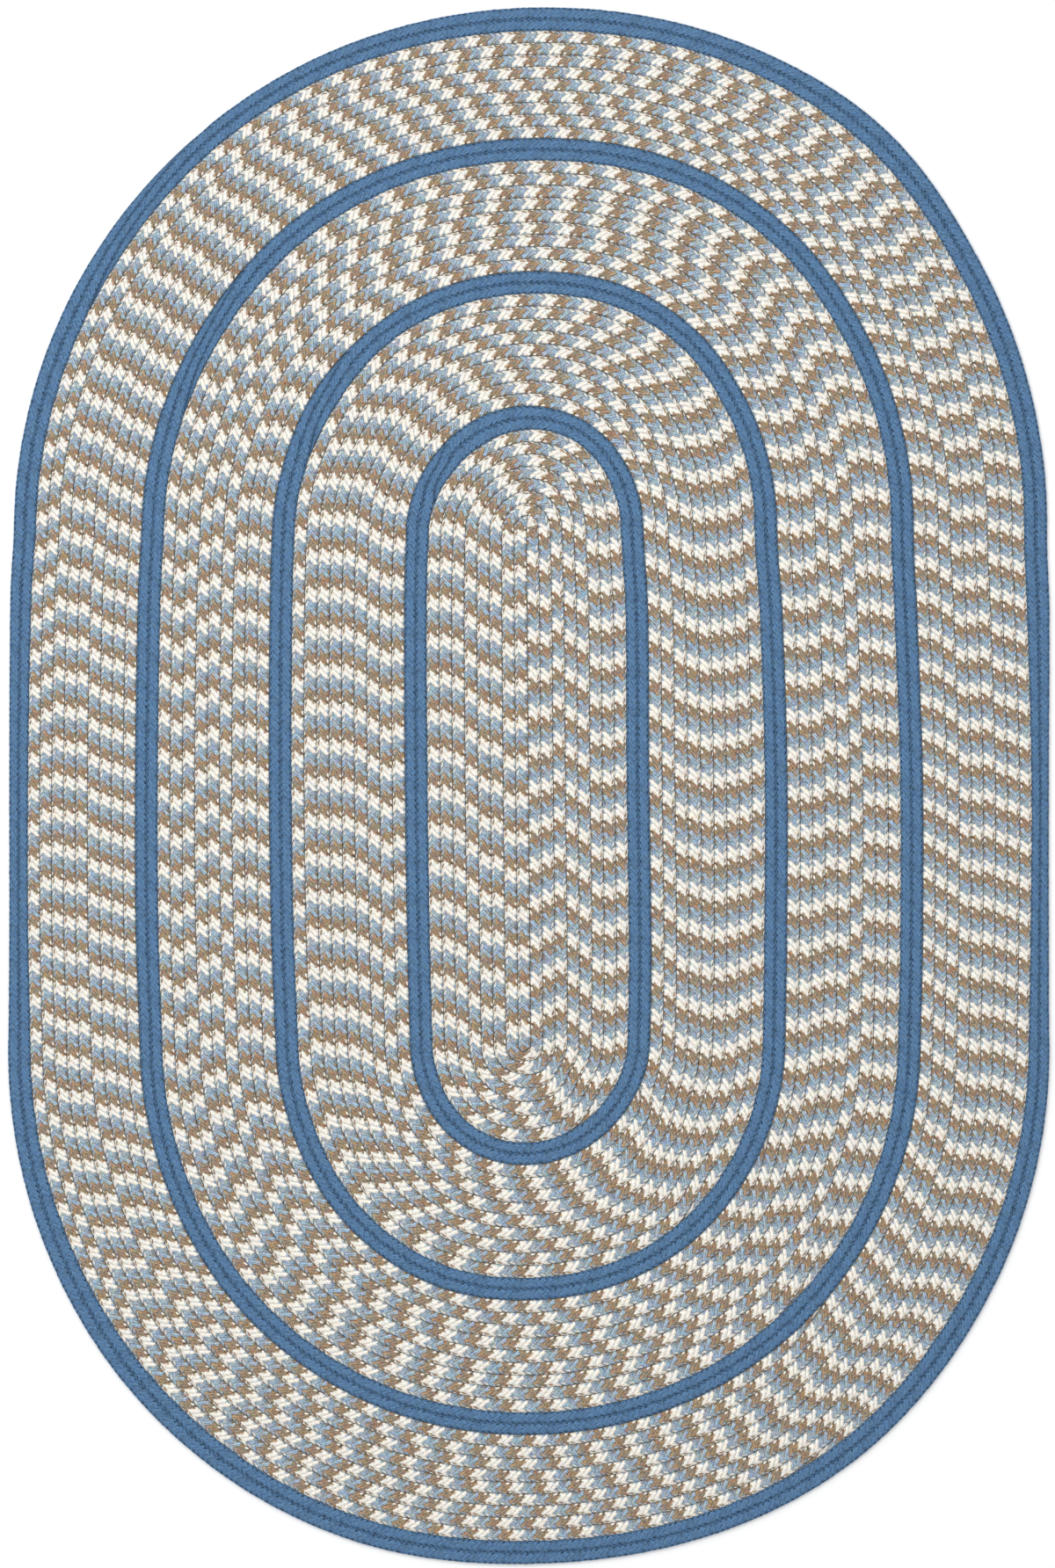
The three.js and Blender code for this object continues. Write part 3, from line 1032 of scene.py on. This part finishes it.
def make_floor(colour):
    bm = bmesh.new()
    bmesh.ops.create_circle(bm, cap_ends=True, segments=FLOOR_CORNERS, radius=FLOOR_REACH)
    mesh = bpy.data.meshes.new("floor")
    bm.to_mesh(mesh)
    bm.free()
    floor = bpy.data.objects.new("floor", mesh)
    bpy.context.scene.collection.objects.link(floor)
    material = bpy.data.materials.new("floor_paint")
    material.use_nodes = True
    shader = material.node_tree.nodes["Principled BSDF"]
    shader.inputs["Base Color"].default_value = rgba(colour)
    shader.inputs["Roughness"].default_value = FLOOR_ROUGHNESS
    mesh.materials.append(material)


def make_light(scene, settings):
    world = bpy.data.worlds.new("studio")
    world.use_nodes = True
    sky = world.node_tree.nodes["Background"]
    sky.inputs["Color"].default_value = (1.0, 1.0, 1.0, 1.0)
    sky.inputs["Strength"].default_value = settings.sky
    scene.world = world
    lamp = bpy.data.lights.new("softbox", "AREA")
    lamp.shape = "SQUARE"
    lamp.size = LAMP_SIZE
    lamp.energy = settings.lamp
    holder = bpy.data.objects.new("softbox", lamp)
    holder.location = LAMP_PLACE
    holder.rotation_euler = (-LAMP_PLACE).to_track_quat("-Z", "Y").to_euler()
    scene.collection.objects.link(holder)


def make_camera(scene, settings):
    camera = bpy.data.cameras.new("camera")
    camera.sensor_width = SENSOR
    camera.lens = SENSOR * settings.camera_height / settings.view_length
    camera.clip_end = CAMERA_REACH
    holder = bpy.data.objects.new("camera", camera)
    holder.location = (*settings.view_middle, settings.camera_height)
    scene.collection.objects.link(holder)
    scene.camera = holder


class RUG_PT_panel(bpy.types.Panel):
    """Sizes, colours and steps of the rug"""

    bl_idname = "RUG_PT_panel"
    bl_label = "Braided Rug"
    bl_space_type = "VIEW_3D"
    bl_region_type = "UI"
    bl_category = "Rug"

    def draw(self, context):
        layout = self.layout
        for operator in OPERATORS:
            layout.operator(operator.bl_idname)
        for settings in (
            context.scene.rug_sizes, context.scene.rug_colours, context.scene.rug_stage):
            for name in settings.__annotations__:
                layout.prop(settings, name)


OPERATORS = (RUG_OT_stage, RUG_OT_mixed_bands, RUG_OT_blue_rings)
CLASSES = (RugSizes, RugColours, StageSettings, *OPERATORS, RUG_PT_panel)


def register():
    for each in CLASSES:
        bpy.utils.register_class(each)
    bpy.types.Scene.rug_sizes = bpy.props.PointerProperty(type=RugSizes)
    bpy.types.Scene.rug_colours = bpy.props.PointerProperty(type=RugColours)
    bpy.types.Scene.rug_stage = bpy.props.PointerProperty(type=StageSettings)


def unregister():
    del bpy.types.Scene.rug_stage
    del bpy.types.Scene.rug_colours
    del bpy.types.Scene.rug_sizes
    for each in reversed(CLASSES):
        bpy.utils.unregister_class(each)


def main():
    register()
    bpy.ops.rug.stage()
    bpy.ops.rug.mixed_bands()
    bpy.ops.rug.blue_rings()


if __name__ == "__main__":
    main()
